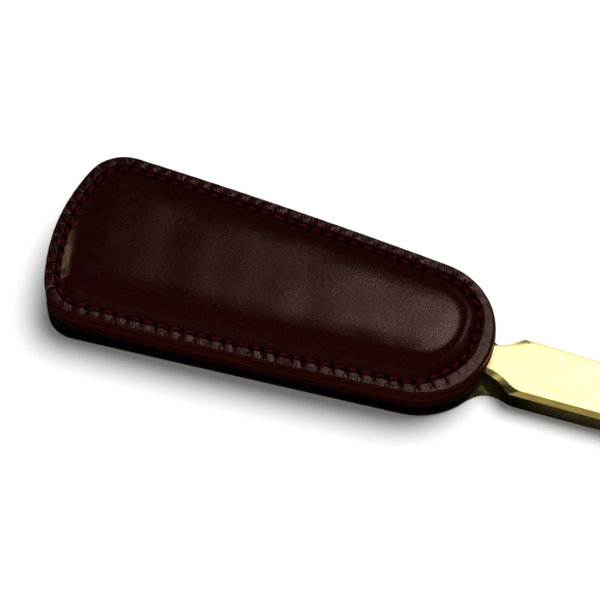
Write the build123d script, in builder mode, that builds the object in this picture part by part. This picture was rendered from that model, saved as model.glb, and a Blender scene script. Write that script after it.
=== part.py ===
from build123d import *
import math
import os

# Long shoehorn with a padded leather handle on a brass bar.
# Frame: +X from the handle's butt towards the horn, +Y across, +Z up.
# Origin: centre of the handle's flat underside, which is the rest face.
# All sizes in millimetres.

os.makedirs("parts", exist_ok=True)

# ---- handle outlines ----
handle_half_len = 51.25
nose_r = 17.0
nose_slope_deg = 5.1      # lean of the side where it runs into the nose
side_bow_r = 1300.0
butt_arc_r = 46.0
butt_corner_r = 9.5
nose_centre_x = handle_half_len - nose_r    # shared by leather and plate

plate_nose_r = 16.80
plate_slope_deg = 4.0
plate_bow_r = 20000.0     # nearly straight sides
plate_corner_r = 7.6
plate_butt_x = -51.20

# ---- handle layers, from the bottom up ----
plate_t = 6.35            # quarter-inch brass: thickness of neck and stem
seat_z = 4.30             # handle plate is milled down to this to seat the leather
edge_break = 0.25         # chamfer on the plate's lower edge
film_t = 0.20             # adhesive
film_inset = 1.0
backing_t = 3.20          # backing leather
backing_z = seat_z + film_t
face_z = backing_z + backing_t    # joint between the two leathers
rim_z = 11.25             # top of the rim
rim_round = 1.35          # rounding of the rim's outer edge
pad_top_z = 14.60         # flat crown of the pad
pad_foot_inset = 4.0      # foot of the pad's side
pad_slope_deg = 38.0      # lean of the pad's side from vertical
pad_edge_r = 5.2          # rounding at the crown
pad_cover_t = 1.40        # leather over the filler
core_top_z = pad_top_z - pad_cover_t
core_edge_r = 4.0         # rounding at the filler's crown
board_t = 1.20            # stiffener board
board_inset = 5.6
board_top_z = face_z + board_t

# ---- stitching ----
stitch_inset = 3.05       # stitch line to the leather edge
stitch_pitch = 3.13       # about eight stitches to the inch
stitch_len = 2.45
stitch_w = 0.72
channel_w = 1.30          # sunk channel the stitches lie in
channel_d = 0.45          # on the face leather
backing_channel_d = channel_d + 0.1
needle_z = rim_z - channel_d + 0.01    # small gap above the channel's floor
needle_h = 0.50
bobbin_z = backing_z + 0.02
bobbin_h = 0.45

# ---- neck and stem ----
stem_half_w = 7.25        # at the shoulder
stem_half_w_mid = 4.90    # at the waist
stem_half_w_end = 5.60    # where the horn starts
stem_x0 = 57.0            # shoulder, where the stem starts
stem_mid_x = 200.0
stem_end_x = 283.0
stem_taper = -0.012       # slope of the half-width just after the shoulder
stem_relief = 1.35        # the stem's underside lifts by this beyond the neck
relief_x0 = 60.0          # where the lift starts
relief_len = 52.0
chamfer_w = 1.05          # chamfer on the top edges of neck and stem
chamfer_z = plate_t - chamfer_w
neck_end_x = 62.0
neck_mid_z = 2.0          # middle outline of the neck's coved side
neck_mid_blend = 0.70     # its share of the way from foot to full outline
stem_stations = [neck_end_x, 72.0, 84.0, 98.0, 114.0, 140.0, 170.0, 200.0, 230.0, 258.0,
                 stem_end_x]

# ---- lap joint and rivets ----
horn_t = 2.0              # horn sheet thickness
lip_len = 7.0             # planed end of the stem
lip_t = 0.25              # brass left above the horn's top at the planed end
lap_len = 30.0            # horn tang under the stem's end
lap_gap = 0.02            # vertical clearance at the lap
lap_end_gap = 0.05        # clearance at the tang's inner end
lap_z = stem_relief + horn_t
rivet_r = 1.60            # rivet hole
rivet_fit = 0.01          # rivet shank is this much smaller than its hole
rivet_head_r = 2.7
rivet_head_h = 0.9
rivet_head_gap = 0.005    # under the head
rivet_x0 = 258.0
rivet_pitch = 7.5
rivet_count = 3
rivet_points = [(rivet_x0 + i * rivet_pitch, 0) for i in range(rivet_count)]

# ---- horn ----
tang_x0 = stem_end_x - lap_len + lap_end_gap
tang_x1 = stem_end_x + 4.0
horn_tip_x = 405.0
horn_half_w = 20.5        # widest half-width
horn_flare_len = 86.0     # widening from the tang's end
horn_bowl_r = 28.0        # cross radius of the bowl
tang_curvature = 0.0005   # 1 / cross radius at the stem's end, almost flat
horn_bowl_len = 68.0      # length over which the bowl forms
horn_drop_x0 = stem_end_x + 6.0    # the underside drops to the rest plane
horn_drop_len = 48.0
horn_rise_x0 = 332.0      # and then rises to the tip
horn_tip_rise = 5.5
tip_spare_w = 1.5         # extra half-width that the tip's rounding trims off
tip_spare_x0 = 372.0
tip_spare_len = 8.0
tip_half_len = 27.0       # lengthwise half axis of the tip's ellipse
tip_half_w = horn_half_w + 0.02
trim_half_w = 40.0        # trimming outline, clear of the blade's sides
trim_z = -5.0
trim_h = 60.0
horn_stations = [tang_x1, 296.0, 305.0, 315.0, 325.0, 335.0, 345.0, 355.0, 364.0, 373.0,
                 382.0, 391.0, 400.0, 409.0]


def save(part, name):
    part.label = name
    export_step(part, f"parts/{name}.step")


def ease(x, start, length):
    """Smooth step from 0 at start to 1 at start + length."""
    t = max(0.0, min((x - start) / length, 1.0))
    return t * t * (3 - 2 * t)


def cross_plane(x):
    """Plane across the shoehorn at x: local x is +Y, local y is +Z."""
    return Plane(origin=(x, 0, 0), x_dir=(0, 1, 0), z_dir=(1, 0, 0))


def loft_through(sections, ruled=False):
    with BuildPart() as body:
        for section in sections:
            add(section)
        loft(ruled=ruled)
    return body.part


# ---- outlines ----
def handle_outline(tip_r, slope_deg, bow_r, butt_x, corner_r):
    """Nose arc, two bowed sides, butt arc and its two corners."""
    butt_centre_x = butt_x + butt_arc_r
    slope = math.radians(slope_deg)
    bow_x = nose_centre_x - (bow_r - tip_r) * math.sin(slope)
    bow_y = -(bow_r - tip_r) * math.cos(slope)
    nose_end = (nose_centre_x + tip_r * math.sin(slope), tip_r * math.cos(slope))
    # iterate to the centre of the corner arc, tangent to the side and the butt arc
    corner_x = butt_x + corner_r
    for _ in range(80):
        corner_y = bow_y + math.sqrt((bow_r - corner_r) ** 2 - (corner_x - bow_x) ** 2)
        corner_x = butt_centre_x - math.sqrt((butt_arc_r - corner_r) ** 2 - corner_y ** 2)
    reach = math.hypot(corner_x - bow_x, corner_y - bow_y)
    side_end = (corner_x + corner_r * (corner_x - bow_x) / reach,
                corner_y + corner_r * (corner_y - bow_y) / reach)
    scale_out = butt_arc_r / (butt_arc_r - corner_r)
    butt_end = (butt_centre_x + (corner_x - butt_centre_x) * scale_out, corner_y * scale_out)
    angles = [math.atan2(p[1] - corner_y, p[0] - corner_x) for p in (side_end, butt_end)]
    mid_angle = sum(angles) / 2
    corner_mid = (corner_x + corner_r * math.cos(mid_angle),
                  corner_y + corner_r * math.sin(mid_angle))
    side_x = (nose_end[0] + side_end[0]) / 2
    side_mid = (side_x, bow_y + math.sqrt(bow_r ** 2 - (side_x - bow_x) ** 2))

    def mirrored(point):
        return (point[0], -point[1])

    with BuildSketch(Plane.XY) as sk:
        with BuildLine():
            ThreePointArc(nose_end, side_mid, side_end)
            ThreePointArc(side_end, corner_mid, butt_end)
            ThreePointArc(butt_end, (butt_x, 0), mirrored(butt_end))
            ThreePointArc(mirrored(butt_end), mirrored(corner_mid), mirrored(side_end))
            ThreePointArc(mirrored(side_end), mirrored(side_mid), mirrored(nose_end))
            ThreePointArc(mirrored(nose_end), (nose_centre_x + tip_r, 0), nose_end)
        make_face()
    return sk.sketch


leather_outline = handle_outline(nose_r, nose_slope_deg, side_bow_r,
                                 -handle_half_len, butt_corner_r)
plate_outline = handle_outline(plate_nose_r, plate_slope_deg, plate_bow_r,
                               plate_butt_x, plate_corner_r)


def leather_face(z, inset=0):
    """Leather outline at height z, offset inwards by inset."""
    with BuildSketch(Plane.XY.offset(z)) as sk:
        add(leather_outline)
        if inset:
            offset(amount=-inset, mode=Mode.REPLACE)
    return sk.sketch


def channel_face(z):
    """Ring that the stitches run in, at height z."""
    with BuildSketch(Plane.XY.offset(z)) as sk:
        add(leather_outline)
        offset(amount=-(stitch_inset - channel_w / 2), mode=Mode.REPLACE)
        add(leather_face(0, stitch_inset + channel_w / 2), mode=Mode.SUBTRACT)
    return sk.sketch


# ---- brass bar ----
def stem_half_width(x):
    """Half-width of the stem before chamfering: waisted towards its middle."""
    if x > stem_mid_x:
        widening = ease(x, stem_mid_x, stem_end_x - stem_mid_x)
        return stem_half_w_mid + (stem_half_w_end - stem_half_w_mid) * widening
    length = stem_mid_x - stem_x0
    t = (x - stem_x0) / length
    return (stem_half_w * (2 * t ** 3 - 3 * t ** 2 + 1)
            + stem_taper * length * (t ** 3 - 2 * t ** 2 + t)
            + stem_half_w_mid * (3 * t ** 2 - 2 * t ** 3))


# Half outlines of the neck (x, half-width), butt side first.
# At the rest face:
neck_foot = [(44.6, 12.9), (46.4, 11.2), (48.15, 9.3), (49.35, 8.0), (50.6, 6.95),
             (51.9, 6.40), (53.3, 6.20), (55.2, 6.45), (57.0, 6.98),
             (58.6, stem_half_width(58.6))]
# At the lower edge of the chamfer:
neck_full = [(44.6, 3.20), (47.0, 3.25), (49.0, 3.36), (50.6, 3.60), (52.0, 3.98),
             (53.3, 4.50), (54.5, 5.15), (55.5, 5.90), (56.4, 6.68),
             (57.3, stem_half_width(57.3))]
# At the top face:
neck_top = [(44.6, 2.40), (47.0, 2.45), (49.0, 2.56), (50.6, 2.76), (52.0, 3.02),
            (53.6, 3.46), (55.2, 4.15), (56.6, 5.02), (57.9, 5.78),
            (59.8, stem_half_width(59.8) - chamfer_w)]
neck_mid = [tuple(a * (1 - neck_mid_blend) + b * neck_mid_blend for a, b in zip(foot, full))
            for foot, full in zip(neck_foot, neck_full)]


def neck_face(z, points, inset=0.0):
    """Neck cross-section at height z: scooped sides, then the straight stem."""
    end_half_w = stem_half_width(neck_end_x) - inset
    mirrored = [(x, -y) for x, y in reversed(points)]
    with BuildSketch(Plane.XY.offset(z)) as sk:
        with BuildLine():
            Line(mirrored[-1], points[0])
            Spline(*points)
            Line(points[-1], (neck_end_x, end_half_w))
            Line((neck_end_x, end_half_w), (neck_end_x, -end_half_w))
            Line((neck_end_x, -end_half_w), mirrored[0])
            Spline(*mirrored)
        make_face()
    return sk.sketch


def stem_section(x):
    """Stem cross-section at x: rectangle with chamfered top corners."""
    half_w = stem_half_width(x)
    top_half_w = half_w - chamfer_w
    under_z = stem_relief * ease(x, relief_x0, relief_len)
    with BuildSketch(cross_plane(x)) as sk:
        with BuildLine():
            Polyline((-half_w, under_z), (half_w, under_z), (half_w, chamfer_z),
                     (top_half_w, plate_t), (-top_half_w, plate_t),
                     (-half_w, chamfer_z), (-half_w, under_z))
        make_face()
    return sk.sketch


def make_handle_plate():
    with BuildPart() as plate:
        with BuildSketch(Plane.XY):
            add(plate_outline)
        extrude(amount=seat_z)
        chamfer(plate.edges().group_by(Axis.Z)[0], edge_break)
    return plate.part


def make_brass_bar():
    plate = make_handle_plate()
    # lower part of the neck: sides cove outwards towards the foot
    neck_low = loft_through([neck_face(0.0, neck_foot), neck_face(neck_mid_z, neck_mid),
                             neck_face(chamfer_z, neck_full)])
    # upper part: the chamfer that follows scoop, shoulder and stem
    neck_chamfer = loft_through([neck_face(chamfer_z, neck_full),
                                 neck_face(plate_t, neck_top, inset=chamfer_w)], ruled=True)
    stem = loft_through([stem_section(x) for x in stem_stations])

    with BuildPart() as bar:
        add(plate)
        add(neck_low)
        add(neck_chamfer)
        add(stem)
        # seat for the leather: nothing of the bar stands above it inside the outline
        with BuildSketch(Plane.XY.offset(seat_z)):
            add(leather_outline)
        extrude(amount=plate_t, mode=Mode.SUBTRACT)
        # half lap for the horn's tang on the underside of the stem's end
        with BuildSketch(Plane.XY):
            with Locations((stem_end_x - lap_len / 2, 0)):
                Rectangle(lap_len, 4 * stem_half_w)
        extrude(amount=lap_z + lap_gap, mode=Mode.SUBTRACT)
        # the end of the stem is planed down towards the horn
        lip_x0 = stem_end_x - lip_len
        with BuildSketch(Plane.XZ):
            with BuildLine():
                Polyline((lip_x0, plate_t), (lip_x0, plate_t + 1),
                         (stem_end_x + 1, plate_t + 1), (stem_end_x + 1, lap_z + lip_t),
                         (lip_x0, plate_t))
            make_face()
        extrude(amount=stem_half_w * 2, both=True, mode=Mode.SUBTRACT)
        # rivet holes through the lap
        with BuildSketch(Plane.XY.offset(lap_z)):
            with Locations(*rivet_points):
                Circle(rivet_r)
        extrude(amount=plate_t, mode=Mode.SUBTRACT)
    return bar.part


# ---- horn ----
def horn_half_width(x):
    """Plan half-width of the horn sheet before its tip is rounded."""
    flare = (horn_half_w - stem_half_w_end) * ease(x, tang_x1, horn_flare_len)
    return stem_half_w_end + flare + tip_spare_w * ease(x, tip_spare_x0, tip_spare_len)


def horn_radius(x):
    """Cross radius of the underside: almost flat at the tang, then a bowl."""
    bowl = ease(x, stem_end_x, horn_bowl_len)
    return 1.0 / (tang_curvature + (1.0 / horn_bowl_r - tang_curvature) * bowl)


def horn_under(x):
    """Height of the underside on the centre line: down to the rest plane, then up."""
    drop = stem_relief * (1 - ease(x, horn_drop_x0, horn_drop_len))
    along = max(0.0, (x - horn_rise_x0) / (horn_tip_x - horn_rise_x0))
    return drop + horn_tip_rise * along ** 2


def horn_section(x):
    """Curved strip across the horn at x, concave side up."""
    outer_r = horn_radius(x)
    inner_r = outer_r - horn_t
    centre_z = horn_under(x) + outer_r
    half_angle = math.asin(horn_half_width(x) / outer_r)

    def arc_point(radius, side):
        return (side * radius * math.sin(half_angle),
                centre_z - radius * math.cos(side * half_angle))

    with BuildSketch(cross_plane(x)) as sk:
        with BuildLine():
            ThreePointArc(arc_point(outer_r, -1), (0, centre_z - outer_r),
                          arc_point(outer_r, 1))
            Line(arc_point(outer_r, 1), arc_point(inner_r, 1))
            ThreePointArc(arc_point(inner_r, 1), (0, centre_z - inner_r),
                          arc_point(inner_r, -1))
            Line(arc_point(inner_r, -1), arc_point(outer_r, -1))
        make_face()
    return sk.sketch


def make_horn_blade():
    sheet = loft_through([horn_section(x) for x in horn_stations])
    tip_x0 = horn_tip_x - tip_half_len
    with BuildPart() as blade:
        add(sheet)
        # rounded tip in plan
        with BuildSketch(Plane.XY.offset(trim_z)):
            with BuildLine():
                Polyline((tip_x0, tip_half_w), (tip_x0, trim_half_w),
                         (stem_end_x, trim_half_w), (stem_end_x, -trim_half_w),
                         (tip_x0, -trim_half_w), (tip_x0, -tip_half_w))
                EllipticalCenterArc((tip_x0, 0), tip_half_len, tip_half_w,
                                    start_angle=-90, arc_size=180)
            make_face()
        extrude(amount=trim_h, mode=Mode.INTERSECT)
        # flat tang that lies in the stem's lap
        with BuildSketch(Plane.XY.offset(stem_relief)):
            with BuildLine():
                start_w = stem_half_width(tang_x0)
                end_w = stem_half_w_end
                Polyline((tang_x0, -start_w), (stem_end_x, -end_w), (tang_x1, -end_w),
                         (tang_x1, end_w), (stem_end_x, end_w), (tang_x0, start_w),
                         (tang_x0, -start_w))
            make_face()
        extrude(amount=horn_t)
        # rivet holes, countersunk from the underside
        with Locations(*[Plane(origin=(x, y, stem_relief), z_dir=(0, 0, -1))
                         for x, y in rivet_points]):
            CounterSinkHole(radius=rivet_r, counter_sink_radius=rivet_head_r, depth=horn_t,
                            counter_sink_angle=90)
    return blade.part


def make_horn_rivets():
    """Domed head on the stem, tail spread flush into the countersink."""
    shank_r = rivet_r - rivet_fit
    tail_r = rivet_head_r - 2 * rivet_fit
    sink_z = stem_relief + rivet_head_r - rivet_r
    head_z = plate_t + rivet_head_gap
    top_z = head_z + rivet_head_h
    dome_r = (rivet_head_r ** 2 + rivet_head_h ** 2) / (2 * rivet_head_h)
    half_angle = 0.5 * math.asin(rivet_head_r / dome_r)
    dome_mid = (dome_r * math.sin(half_angle),
                top_z - dome_r + dome_r * math.cos(half_angle))
    with BuildPart() as rivets:
        for x, y in rivet_points:
            with BuildSketch(Plane(origin=(x, y, 0), x_dir=(1, 0, 0), z_dir=(0, -1, 0))):
                with BuildLine():
                    Polyline((0, stem_relief), (tail_r, stem_relief), (shank_r, sink_z),
                             (shank_r, head_z), (rivet_head_r, head_z))
                    ThreePointArc((rivet_head_r, head_z), dome_mid, (0, top_z))
                    Line((0, top_z), (0, stem_relief))
                make_face()
            revolve(axis=Axis(origin=(x, y, 0), direction=(0, 0, 1)))
    return rivets.part


# ---- handle layers ----
def make_layer(z, inset, thickness):
    """Flat layer with the leather's outline."""
    with BuildPart() as layer:
        add(leather_face(z, inset))
        extrude(amount=thickness)
    return layer.part


def make_backing_leather():
    with BuildPart() as backing:
        add(leather_face(backing_z))
        extrude(amount=backing_t)
        # channel for the underside run of the stitches
        add(channel_face(backing_z))
        extrude(amount=backing_channel_d, mode=Mode.SUBTRACT)
    return backing.part


def make_pad_core():
    """Filler on the board: upright to the rim's height, then sloped and rounded."""
    with BuildPart() as core:
        add(leather_face(board_top_z, board_inset))
        extrude(amount=rim_z - board_top_z)
        add(leather_face(rim_z, board_inset))
        extrude(amount=core_top_z - rim_z, taper=pad_slope_deg)
        fillet(core.edges().group_by(Axis.Z)[-1], core_edge_r)
    return core.part


def make_face_leather(board, core):
    """Moulded face leather, hollow for the board and the filler."""
    with BuildPart() as face:
        add(leather_face(face_z))
        extrude(amount=rim_z - face_z)
        fillet(face.edges().group_by(Axis.Z)[-1], rim_round)
        # raised pad
        add(leather_face(rim_z, pad_foot_inset))
        extrude(amount=pad_top_z - rim_z, taper=pad_slope_deg)
        fillet(face.edges().group_by(Axis.Z)[-1], pad_edge_r)
        # sunk channel for the stitches
        add(channel_face(rim_z - channel_d))
        extrude(amount=channel_d, mode=Mode.SUBTRACT)
        add(board, mode=Mode.SUBTRACT)
        add(core, mode=Mode.SUBTRACT)
    return face.part


# ---- stitches ----
def stitch_locations():
    """Places evenly spaced along the stitch line, turned to follow it."""
    wire = leather_face(0, stitch_inset).faces()[0].outer_wire()
    count = round(wire.length / stitch_pitch)
    places = []
    for i in range(count):
        along = (i + 0.5) / count
        point = wire.position_at(along)
        tangent = wire.tangent_at(along)
        turn = math.degrees(math.atan2(tangent.Y, tangent.X))
        places.append(Location((point.X, point.Y, 0), (0, 0, turn)))
    return places


def make_thread(places, z, height):
    """One short run of thread per stitch."""
    with BuildPart() as thread:
        with BuildSketch(Plane.XY.offset(z)):
            with Locations(*places):
                SlotOverall(stitch_len, stitch_w)
        extrude(amount=height)
    return thread.part


save(make_brass_bar(), "brass_bar")
save(make_horn_blade(), "horn_blade")
save(make_horn_rivets(), "horn_rivets")
save(make_layer(seat_z, film_inset, film_t), "bond_film")
save(make_backing_leather(), "backing_leather")

stiffener_board = make_layer(face_z, board_inset, board_t)
pad_core = make_pad_core()
save(stiffener_board, "stiffener_board")
save(pad_core, "pad_core")
save(make_face_leather(stiffener_board, pad_core), "face_leather")

stitch_places = stitch_locations()
save(make_thread(stitch_places, needle_z, needle_h), "needle_thread")
save(make_thread(stitch_places, bobbin_z, bobbin_h), "bobbin_thread")
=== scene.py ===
"""Padded leather handle, stitched all round, on brass that reaches on past its nose.

The handle lies flat with its length along X: round nose at +X, blunt butt at -X, padded
face up (+Z). The camera looks down from the front (-Y). Shapes are worked out in
millimetres and become metres when meshes are made; shaders, lights and camera use metres
unless a comment says otherwise.
"""
import bpy
import bmesh
import math
import numpy as np
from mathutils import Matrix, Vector
from mathutils.bvhtree import BVHTree


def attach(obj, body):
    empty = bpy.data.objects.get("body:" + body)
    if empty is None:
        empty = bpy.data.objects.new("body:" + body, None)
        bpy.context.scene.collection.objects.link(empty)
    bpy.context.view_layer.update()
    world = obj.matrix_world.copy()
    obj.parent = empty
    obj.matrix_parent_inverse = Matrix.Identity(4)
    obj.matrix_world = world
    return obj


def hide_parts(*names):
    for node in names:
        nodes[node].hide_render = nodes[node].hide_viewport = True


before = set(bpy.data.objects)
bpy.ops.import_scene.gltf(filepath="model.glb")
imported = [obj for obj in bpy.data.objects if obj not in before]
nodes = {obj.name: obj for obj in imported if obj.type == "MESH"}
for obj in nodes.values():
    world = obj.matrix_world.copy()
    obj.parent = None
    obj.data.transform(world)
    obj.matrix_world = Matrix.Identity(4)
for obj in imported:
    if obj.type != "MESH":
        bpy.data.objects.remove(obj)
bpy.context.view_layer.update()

MM = 0.001
TURN = 2 * math.pi
scene = bpy.context.scene

# ---------------------------------------------------------------- driving sizes, mm
HALF_LEN = 51.25
BACK_Z, FACE_Z = 4.50, 7.70      # underside of the backing, joint between the two leathers
RIM_Z, PAD_Z = 11.25, 14.60      # flat rim and top of the pad

# outline arcs: nose, bowed sides, butt corners, butt
NOSE_R, BOW_R, CORNER_R, BUTT_R = 17.0, 1300.0, 9.5, 46.0
SIDE_SLOPE = math.radians(5.1)   # of the sides where they leave the nose
OUTLINE_POINTS = 7600

STITCH_IN = 3.05                 # inset of the stitch line
N_STITCH = 76
N_COL = N_STITCH * 20            # mesh columns round the handle
THREAD_Z = 10.89                 # axis of the thread at mid-stitch

# cross-section of the face leather: insets from the outline
EDGE_DROP = 0.03                 # fall of the rim at its very edge
CHANNEL_DEPTH = 0.55
CHANNEL_TOP, CHANNEL_IN, CHANNEL_OUT = 2.10, 2.72, 3.42
PAD_FOOT, PAD_SHOULDER, PAD_CREST = 4.35, 5.07, 9.16
PAD_SLOPE, PAD_SLOPE_FROM = 1.28, 4.0
PAD_ROUND = 5.2
CLOSE_IN = 8.6                   # inset where rows start to close on the medial line
MEDIAL_X = (-31.0, 34.25)        # ends of the medial line


# ---------------------------------------------------------------- plan geometry
def arc(x, y, radius, start, end, count):
    angle = np.linspace(start, end, count, endpoint=False)
    return np.stack([x + radius * np.cos(angle), y + radius * np.sin(angle)], 1)


def lengths(vectors):
    return np.hypot.reduce(vectors, axis=1)


def unit(vectors):
    return vectors / lengths(vectors)[:, None]


def run_length(points):
    """Distance travelled at each point of a path."""
    return np.concatenate([[0], np.cumsum(lengths(np.diff(points, axis=0)))])


def close_loop(points):
    return np.vstack([points, points[:1]])


def read_loop(values, run, at):
    """Values of a closed loop's points at distances `at` along it."""
    at = np.mod(at, run[-1])
    return np.stack([np.interp(at, run, column) for column in close_loop(values).T], 1)


def outline():
    """Handle outline, counter-clockwise from the nose, evenly spaced."""
    nose_x = HALF_LEN - NOSE_R
    butt_x = -HALF_LEN + BUTT_R
    bow_x = nose_x - (BOW_R - NOSE_R) * math.sin(SIDE_SLOPE)
    bow_y = -(BOW_R - NOSE_R) * math.cos(SIDE_SLOPE)
    # the corner's centre, touching both the bow and the butt, is found by iteration
    corner_x = -HALF_LEN + CORNER_R
    for _ in range(80):
        corner_y = bow_y + math.sqrt((BOW_R - CORNER_R) ** 2 - (corner_x - bow_x) ** 2)
        corner_x = butt_x - math.sqrt((BUTT_R - CORNER_R) ** 2 - corner_y ** 2)
    side_start = math.pi / 2 - SIDE_SLOPE
    side_end = math.atan2(corner_y - bow_y, corner_x - bow_x)
    corner_end = math.atan2(corner_y, corner_x - butt_x)
    upper = np.concatenate([
        arc(nose_x, 0, NOSE_R, 0, side_start, 900),
        arc(bow_x, bow_y, BOW_R, side_start, side_end, 1800),
        arc(corner_x, corner_y, CORNER_R, side_end, corner_end, 500),
        arc(butt_x, 0, BUTT_R, corner_end, math.pi, 700)])
    points = np.concatenate([upper, [[-HALF_LEN, 0.0]], upper[:0:-1] * [1, -1]])
    run = run_length(close_loop(points))
    return read_loop(points, run, np.linspace(0, run[-1], OUTLINE_POINTS, endpoint=False))


def inward(points):
    tangent = unit(np.roll(points, -1, 0) - np.roll(points, 1, 0))
    return np.stack([-tangent[:, 1], tangent[:, 0]], 1)


OUTLINE = outline()
OUTLINE_IN = inward(OUTLINE)
SEAM_RUN = run_length(close_loop(OUTLINE + OUTLINE_IN * STITCH_IN))
SEAM_LEN = SEAM_RUN[-1]
PITCH = SEAM_LEN / N_STITCH
STATIONS = np.arange(N_COL) / N_COL * SEAM_LEN


def at_stations(station):
    """Outline points and inward normals at distances along the stitch line."""
    return (read_loop(OUTLINE, SEAM_RUN, station),
            unit(read_loop(OUTLINE_IN, SEAM_RUN, station)))


COL_P, COL_N = at_stations(STATIONS)


def offset(points, normals, inset):
    return points + normals * np.broadcast_to(inset, (len(points),))[:, None]


def row(plan, z):
    return np.column_stack([plan, np.broadcast_to(z, (len(plan),))])


def between(start, end, part):
    return start + (end - start) * part


def medial_target(points):
    """Point of the medial line that each column closes on."""
    x = points[:, 0]
    start, end = x.min() + 9.0, x.max() - 16.0
    part = np.clip((x - start) / (end - start), 0, 1)
    return np.stack([between(*MEDIAL_X, part), np.zeros(len(x))], 1)


# ---------------------------------------------------------------- fades and seeded noise
def rise(start, end, x):
    part = np.clip((x - start) / (end - start), 0, 1)
    return part * part * (3 - 2 * part)


def fall(start, end, x):
    return 1 - rise(start, end, x)


def band(x, up, down):
    """Rises over the span `up` and falls again over `down`."""
    return rise(*up, x) * fall(*down, x)


def waves(seed, count, low, high):
    """Random sines with whole numbers of periods along the seam: (frequencies, phases)."""
    draw = np.random.default_rng(seed)
    return draw.integers(low, high + 1, count).astype(float), draw.uniform(0, TURN, count)


def along(wave, station):
    angle = station * (TURN / SEAM_LEN)
    level = 1 / math.sqrt(len(wave[0]) / 2)
    return sum(level * np.sin(frequency * angle + phase) for frequency, phase in zip(*wave))


def field(seed, count, wavelengths, tilts, x, y):
    """Random plane waves over the plan; wavelengths in mm, tilts in radians from +X."""
    draw = np.random.default_rng(seed)
    shortest, longest = wavelengths
    total = np.zeros(np.shape(x))
    for _ in range(count):
        length = math.exp(draw.uniform(math.log(shortest), math.log(longest)))
        tilt = draw.uniform(*tilts)
        across = math.cos(tilt) * x + math.sin(tilt) * y
        total += np.sin(TURN / length * across + draw.uniform(0, TURN))
    return total / math.sqrt(count / 2)


# ---------------------------------------------------------------- face cross-section
def build_profile():
    """Insets and smoothed heights of rim, channel and pad."""
    spacing, blur_radius, reach = 0.01, 0.11, 40
    inset = np.arange(0, 22.0, spacing)
    z = np.full(inset.shape, RIM_Z)
    z -= EDGE_DROP * fall(0.5, 1.2, inset)
    z -= CHANNEL_DEPTH * rise(CHANNEL_TOP, CHANNEL_IN, inset)
    floor_z = RIM_Z - CHANNEL_DEPTH

    def span(start, end):
        return (inset >= start) & (inset < end)

    z[span(CHANNEL_IN, CHANNEL_OUT)] = floor_z
    # out of the channel on a cubic that meets the pad's straight side
    part_of = span(CHANNEL_OUT, PAD_FOOT)
    width = PAD_FOOT - CHANNEL_OUT
    t = (inset[part_of] - CHANNEL_OUT) / width
    foot_z = RIM_Z + (PAD_FOOT - PAD_SLOPE_FROM) * PAD_SLOPE
    z[part_of] = (floor_z * (2 * t ** 3 - 3 * t ** 2 + 1) + foot_z * (3 * t ** 2 - 2 * t ** 3)
                  + PAD_SLOPE * width * (t ** 3 - t ** 2))
    part_of = span(PAD_FOOT, PAD_SHOULDER)
    z[part_of] = RIM_Z + (inset[part_of] - PAD_SLOPE_FROM) * PAD_SLOPE
    part_of = span(PAD_SHOULDER, PAD_CREST)
    z[part_of] = PAD_Z - PAD_ROUND + np.sqrt(PAD_ROUND ** 2 - (PAD_CREST - inset[part_of]) ** 2)
    z[inset >= PAD_CREST] = PAD_Z
    z -= 0.16 * fall(7.0, 13.5, inset) * rise(4.0, 6.0, inset)
    kernel = np.exp(-0.5 * (np.arange(-reach, reach + 1) * spacing / blur_radius) ** 2)
    kernel /= kernel.sum()
    return inset, np.convolve(np.pad(z, reach, mode="edge"), kernel, mode="valid")


PROFILE = build_profile()


def profile(inset):
    return np.interp(inset, *PROFILE)


def rim_radius():
    """Worn radius of the rim's outer corner: softest round the nose, softer on the +Y side."""
    facing = np.arctan2(-COL_N[:, 1], -COL_N[:, 0])
    return 0.40 + 0.60 * np.exp(-(facing / 0.62) ** 2) + 0.18 * np.clip(np.sin(facing), 0, 1)


# ---------------------------------------------------------------- mesh helpers
def shade_smooth(mesh):
    mesh.polygons.foreach_set("use_smooth", [True] * len(mesh.polygons))
    mesh.update()


def make_object(name, verts, faces):
    mesh = bpy.data.meshes.new(name)
    mesh.from_pydata([tuple(vert) for vert in verts], [], faces)
    shade_smooth(mesh)
    made = bpy.data.objects.new(name, mesh)
    scene.collection.objects.link(made)
    return made


def bridge(first, second, count):
    """Quads between two closed rows that start at the given vertices."""
    return [(first + c, first + (c + 1) % count, second + (c + 1) % count, second + c)
            for c in range(count)]


def ring_faces(n_rows, count, first=0):
    return [face for r in range(n_rows - 1)
            for face in bridge(first + r * count, first + (r + 1) * count, count)]


def finish_mesh(work, mesh):
    bmesh.ops.recalc_face_normals(work, faces=work.faces)
    work.to_mesh(mesh)
    work.free()
    shade_smooth(mesh)


def merge_close(mesh, distance):
    work = bmesh.new()
    work.from_mesh(mesh)
    bmesh.ops.remove_doubles(work, verts=work.verts, dist=distance)
    bmesh.ops.dissolve_degenerate(work, edges=work.edges, dist=distance * 0.5)
    finish_mesh(work, mesh)


def make_shell(name, upper, lower):
    """Closed shell of two stacks of rows, joined at their first rows; each last row is
    welded along the medial line."""
    count = len(upper[0])
    split = len(upper) * count
    verts = np.concatenate(upper + lower)
    faces = ring_faces(len(upper), count)
    faces += [face[::-1] for face in ring_faces(len(lower), count, split)]
    faces += bridge(split, 0, count)
    shell = make_object(name, verts * MM, faces)
    work = bmesh.new()
    work.from_mesh(shell.data)
    work.verts.ensure_lookup_table()
    last_rows = [[work.verts[i] for i in range(end - count, end)] for end in (split, len(verts))]
    for last_row in last_rows:
        bmesh.ops.remove_doubles(work, verts=last_row, dist=2e-6)
    finish_mesh(work, shell.data)
    return shell


# ---------------------------------------------------------------- cloth: the cover swells
SIM_SCALE = 20.0                 # the cloth is run this much larger than life
SIM_UNIT = MM * SIM_SCALE
COVER_IN = 3.5                   # inset of the cover's edge
MOVE_CAP = 0.55                  # limit of the cloth's movement, mm


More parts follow.
